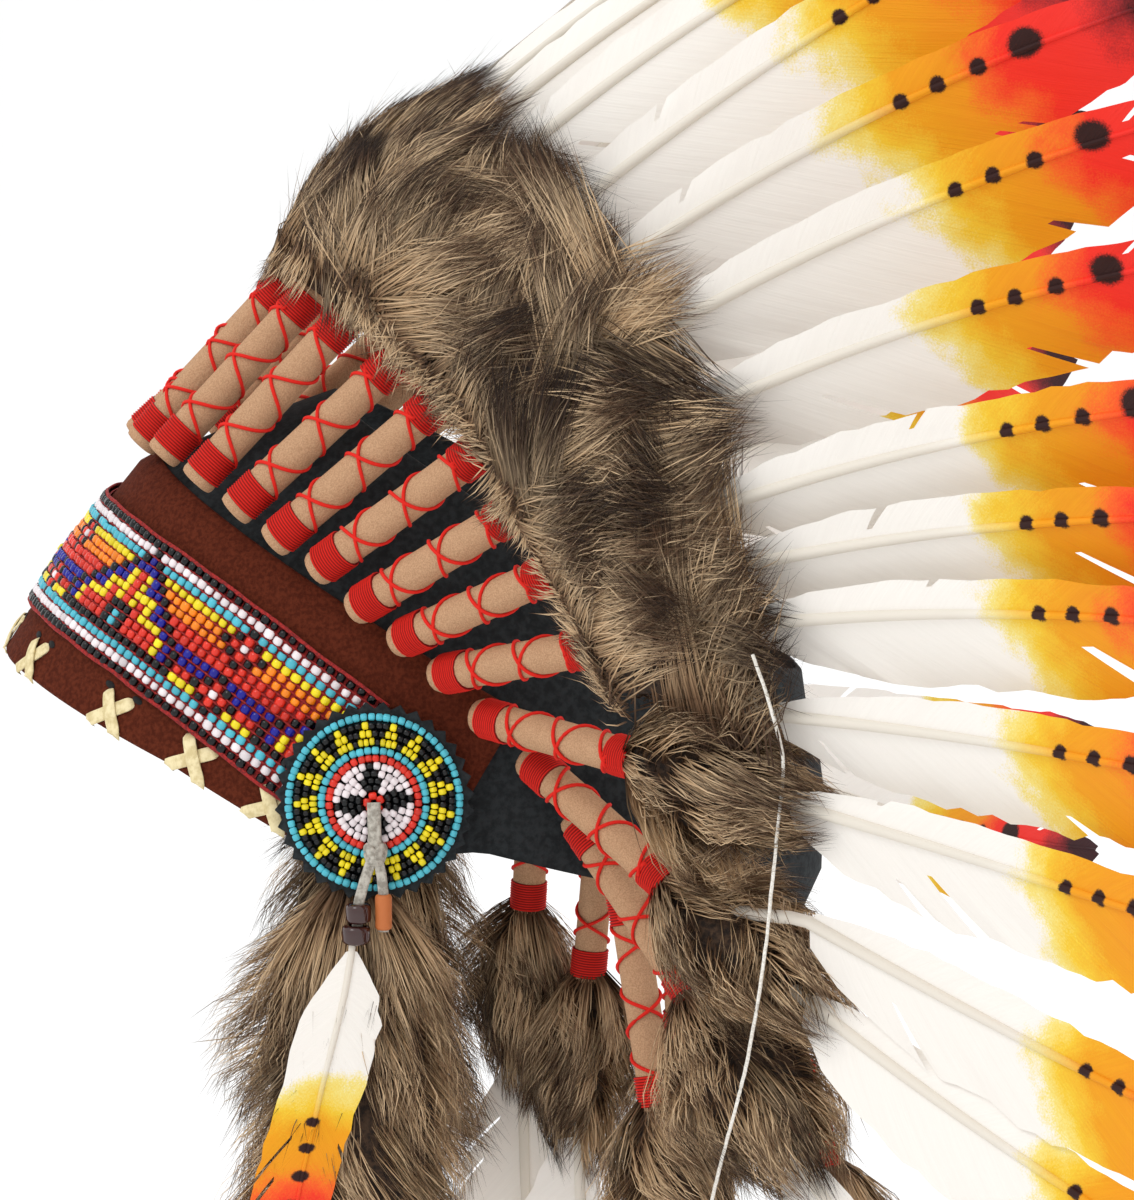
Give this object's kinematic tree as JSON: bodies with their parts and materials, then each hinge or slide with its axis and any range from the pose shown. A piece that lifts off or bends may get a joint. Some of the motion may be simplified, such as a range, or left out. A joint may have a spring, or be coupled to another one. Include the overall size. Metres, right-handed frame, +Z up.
{
  "type": "feathered headdress",
  "caption": "Flared feather headdress: felt-wrapped quills and fur on an open cap, with a beaded brow band, rosettes and hanging fur drops.",
  "frame": {"origin": "middle of the head opening, at the height where the cap sits on the head", "axes": "+Z up, the wearer faces -Y, +X is the wearer's left; the plane of the band slopes 31 degrees down towards the nape"},
  "size_m": [0.5732, 0.3185, 0.5447],
  "materials": {
    "dark_leather": "dull, brushed",
    "brown_suede": "napped suede",
    "grey_suede": "soft suede",
    "cream_lacing": "smooth flat lace",
    "seed_beads": "glossy glass seed beads in many colours",
    "brown_bead": "glossy",
    "tan_bead": "satin",
    "dyed_feather": "feather, white at the quill, then yellow, orange and red with dark dots",
    "felt_wrap": "tan wool felt",
    "red_yarn": "twisted yarn",
    "brown_fur": "long soft fur",
    "white_thread": "thin waxed thread"
  },
  "bodies": {
    "root": {"cap": "dark_leather", "brow_band": "brown_suede", "bead_band": "seed_beads", "back_strap": "dark_leather", "rosette_backing_left": "dark_leather", "rosette_beads_left": "seed_beads", "thong_left": "grey_suede", "pony_bead_upper_left": "brown_bead", "pony_bead_lower_left": "brown_bead", "tube_bead_left": "tan_bead", "pendant_feather_left": "dyed_feather", "fur_drop_left": "brown_fur", "rosette_backing_right": "dark_leather", "rosette_beads_right": "seed_beads", "thong_right": "grey_suede", "pony_bead_upper_right": "brown_bead", "pony_bead_lower_right": "brown_bead", "tube_bead_right": "tan_bead", "pendant_feather_right": "dyed_feather", "fur_drop_right": "brown_fur", "quill_center": "dyed_feather", "quill_left_01": "dyed_feather", "quill_left_02": "dyed_feather", "quill_left_03": "dyed_feather", "quill_left_04": "dyed_feather", "quill_left_05": "dyed_feather", "quill_left_06": "dyed_feather", "quill_left_07": "dyed_feather", "quill_left_08": "dyed_feather", "quill_left_09": "dyed_feather", "quill_left_10": "dyed_feather", "quill_left_11": "dyed_feather", "quill_left_12": "dyed_feather", "quill_left_13": "dyed_feather", "quill_left_14": "dyed_feather", "quill_right_01": "dyed_feather", "quill_right_02": "dyed_feather", "quill_right_03": "dyed_feather", "quill_right_04": "dyed_feather", "quill_right_05": "dyed_feather", "quill_right_06": "dyed_feather", "quill_right_07": "dyed_feather", "quill_right_08": "dyed_feather", "quill_right_09": "dyed_feather", "quill_right_10": "dyed_feather", "quill_right_11": "dyed_feather", "quill_right_12": "dyed_feather", "quill_right_13": "dyed_feather", "quill_right_14": "dyed_feather", "crown_fur": "brown_fur", "fur_left_10": "brown_fur", "fur_left_11": "brown_fur", "fur_left_12": "brown_fur", "fur_left_13": "brown_fur", "fur_left_14": "brown_fur", "fur_right_10": "brown_fur", "fur_right_11": "brown_fur", "fur_right_trail": "brown_fur"}
  },
  "joints": []
}
